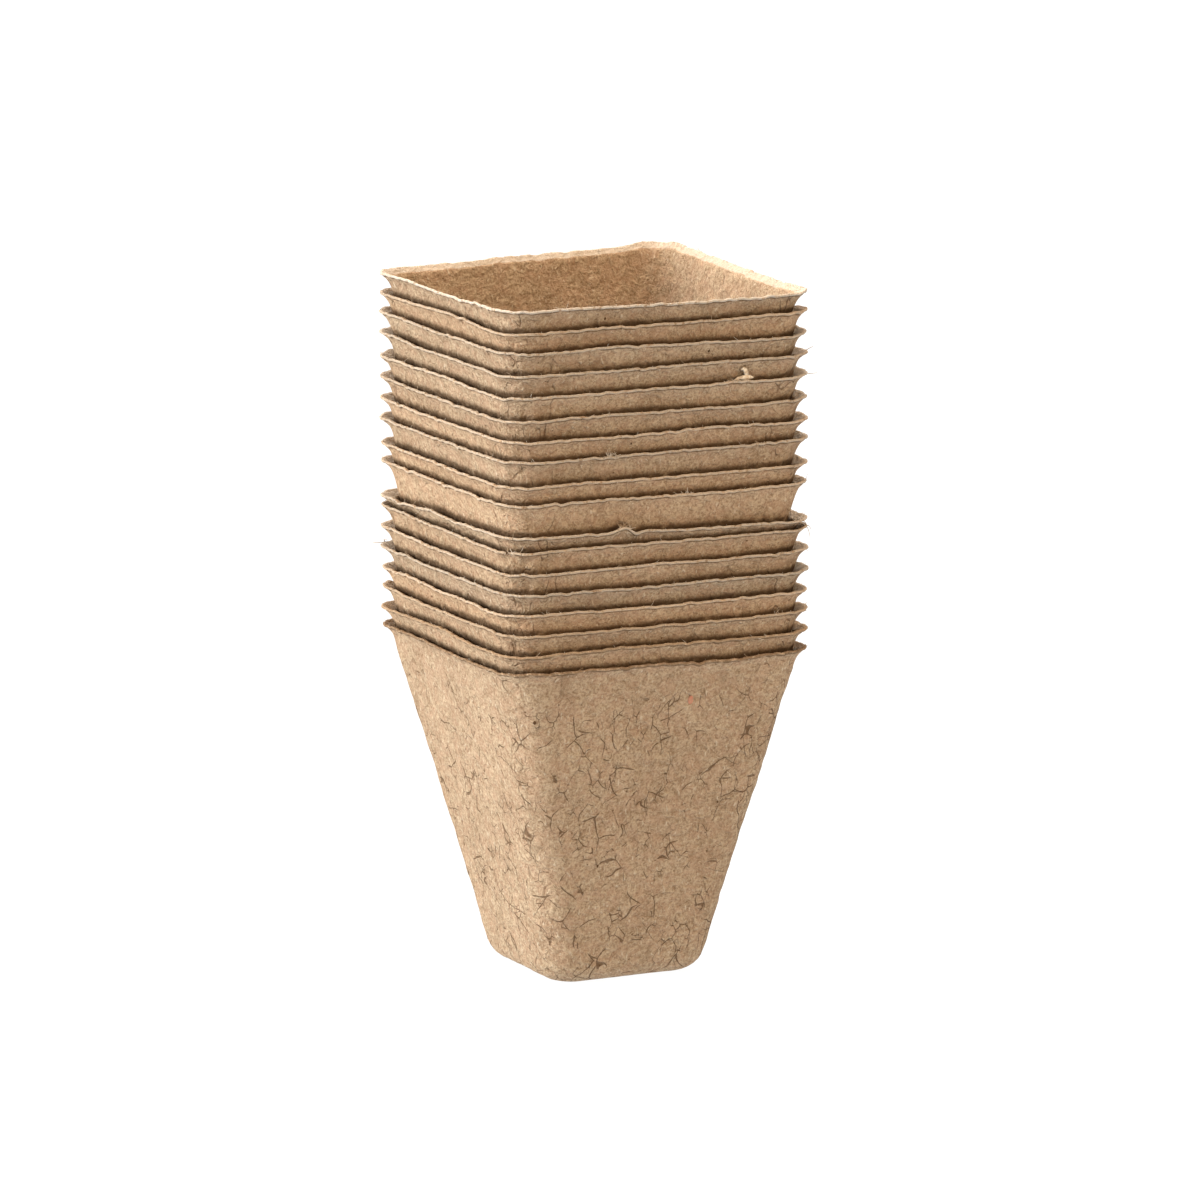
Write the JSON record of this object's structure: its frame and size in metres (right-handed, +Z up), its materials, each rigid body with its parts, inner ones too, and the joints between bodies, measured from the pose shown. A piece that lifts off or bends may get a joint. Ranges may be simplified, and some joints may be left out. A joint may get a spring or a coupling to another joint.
{
  "type": "stack of plant pots",
  "caption": "Nested stack of square, tapered plant pots pressed from brown plant fibre, with rounded corners, flared lips and an empty pot on top.",
  "frame": {"origin": "centre of the bottom pot's base, on the surface that the stack stands on", "axes": "+Z up along the stack, X and Y square to the pots' walls"},
  "size_m": [0.08, 0.08, 0.1656],
  "materials": {
    "pressed_fibre": "matt, fine felted plant fibre with darker strands"
  },
  "bodies": {
    "pot_01": {"pot_01": "pressed_fibre"},
    "pot_02": {"pot_02": "pressed_fibre"},
    "pot_03": {"pot_03": "pressed_fibre"},
    "pot_04": {"pot_04": "pressed_fibre"},
    "pot_05": {"pot_05": "pressed_fibre"},
    "pot_06": {"pot_06": "pressed_fibre"},
    "pot_07": {"pot_07": "pressed_fibre"},
    "pot_08": {"pot_08": "pressed_fibre"},
    "pot_09": {"pot_09": "pressed_fibre"},
    "pot_10": {"pot_10": "pressed_fibre"},
    "pot_11": {"pot_11": "pressed_fibre"},
    "pot_12": {"pot_12": "pressed_fibre"},
    "pot_13": {"pot_13": "pressed_fibre"},
    "pot_14": {"pot_14": "pressed_fibre"},
    "pot_15": {"pot_15": "pressed_fibre"},
    "pot_16": {"pot_16": "pressed_fibre"},
    "pot_17": {"pot_17": "pressed_fibre"},
    "pot_18": {"pot_18": "pressed_fibre"}
  },
  "joints": [
    {"name": "lift_02", "type": "slide", "parent": "pot_01", "child": "pot_02", "axis": [0, 0, 1], "range_m": [0, 0.08]},
    {"name": "lift_03", "type": "slide", "parent": "pot_02", "child": "pot_03", "axis": [0, 0, 1], "range_m": [0, 0.08]},
    {"name": "lift_04", "type": "slide", "parent": "pot_03", "child": "pot_04", "axis": [0, 0, 1], "range_m": [0, 0.08]},
    {"name": "lift_05", "type": "slide", "parent": "pot_04", "child": "pot_05", "axis": [0, 0, 1], "range_m": [0, 0.08]},
    {"name": "lift_06", "type": "slide", "parent": "pot_05", "child": "pot_06", "axis": [0, 0, 1], "range_m": [0, 0.08]},
    {"name": "lift_07", "type": "slide", "parent": "pot_06", "child": "pot_07", "axis": [0, 0, 1], "range_m": [0, 0.08]},
    {"name": "lift_08", "type": "slide", "parent": "pot_07", "child": "pot_08", "axis": [0, 0, 1], "range_m": [0, 0.08]},
    {"name": "lift_09", "type": "slide", "parent": "pot_08", "child": "pot_09", "axis": [0, 0, 1], "range_m": [0, 0.08]},
    {"name": "lift_10", "type": "slide", "parent": "pot_09", "child": "pot_10", "axis": [0, 0, 1], "range_m": [0, 0.08]},
    {"name": "lift_11", "type": "slide", "parent": "pot_10", "child": "pot_11", "axis": [0, 0, 1], "range_m": [0, 0.08]},
    {"name": "lift_12", "type": "slide", "parent": "pot_11", "child": "pot_12", "axis": [0, 0, 1], "range_m": [0, 0.08]},
    {"name": "lift_13", "type": "slide", "parent": "pot_12", "child": "pot_13", "axis": [0, 0, 1], "range_m": [0, 0.08]},
    {"name": "lift_14", "type": "slide", "parent": "pot_13", "child": "pot_14", "axis": [0, 0, 1], "range_m": [0, 0.08]},
    {"name": "lift_15", "type": "slide", "parent": "pot_14", "child": "pot_15", "axis": [0, 0, 1], "range_m": [0, 0.08]},
    {"name": "lift_16", "type": "slide", "parent": "pot_15", "child": "pot_16", "axis": [0, 0, 1], "range_m": [0, 0.08]},
    {"name": "lift_17", "type": "slide", "parent": "pot_16", "child": "pot_17", "axis": [0, 0, 1], "range_m": [0, 0.08]},
    {"name": "lift_18", "type": "slide", "parent": "pot_17", "child": "pot_18", "axis": [0, 0, 1], "range_m": [0, 0.08]}
  ]
}
